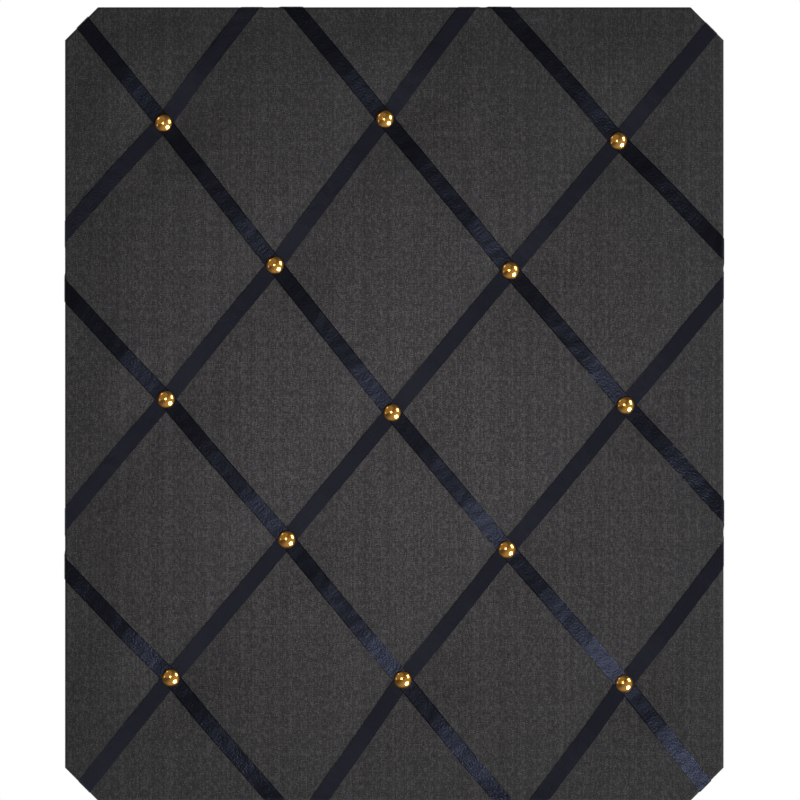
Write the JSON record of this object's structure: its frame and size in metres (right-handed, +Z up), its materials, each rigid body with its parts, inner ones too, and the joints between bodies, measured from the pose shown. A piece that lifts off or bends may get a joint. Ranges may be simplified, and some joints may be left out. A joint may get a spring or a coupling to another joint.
{
  "type": "french memo board",
  "caption": "Padded linen memo board with clipped corners, a diamond lattice of satin ribbons pinned by domed gold studs, and D-ring hangers on its back.",
  "frame": {"origin": "centre of the back face of the fibreboard core", "axes": "+Z up as the board hangs, +Y out of the back towards the wall, +X to the right seen from the front"},
  "size_m": [0.5004, 0.0288, 0.6024],
  "materials": {
    "fibreboard": "soft brown fibreboard, felted fibres, matt",
    "wadding": "white polyester wadding, fluffy, matt",
    "linen": "charcoal black linen, plain weave with slubs, matt",
    "satin": "black satin ribbon, smooth with a soft blue-grey sheen",
    "gold": "polished gold-coloured plating",
    "steel": "zinc-plated steel, satin"
  },
  "bodies": {
    "board": {"backing_board": "fibreboard", "wadding_pad": "wadding", "linen_cover": "linen", "ribbon_falling_1": "satin", "ribbon_falling_2": "satin", "ribbon_falling_3": "satin", "ribbon_falling_4": "satin", "ribbon_falling_5": "satin", "ribbon_rising_1": "satin", "ribbon_rising_2": "satin", "ribbon_rising_3": "satin", "ribbon_rising_4": "satin", "ribbon_rising_5": "satin", "stud_a1": "gold", "stud_a2": "gold", "stud_a3": "gold", "stud_b1": "gold", "stud_b2": "gold", "stud_c1": "gold", "stud_c2": "gold", "stud_c3": "gold", "stud_d1": "gold", "stud_d2": "gold", "stud_e1": "gold", "stud_e2": "gold", "stud_e3": "gold", "hanger_strap_left": "steel", "hanger_strap_right": "steel", "hanger_screw_left": "steel", "hanger_screw_right": "steel"},
    "left_ring": {"d_ring_left": "steel"},
    "right_ring": {"d_ring_right": "steel"}
  },
  "joints": [
    {"name": "left_ring_swing", "type": "hinge", "parent": "board", "child": "left_ring", "pos_m": [-0.165, 0.0026, 0.19], "axis": [1, 0, 0], "range_deg": [0, 180]},
    {"name": "right_ring_swing", "type": "hinge", "parent": "board", "child": "right_ring", "pos_m": [0.165, 0.0026, 0.19], "axis": [1, 0, 0], "range_deg": [0, 180]}
  ]
}
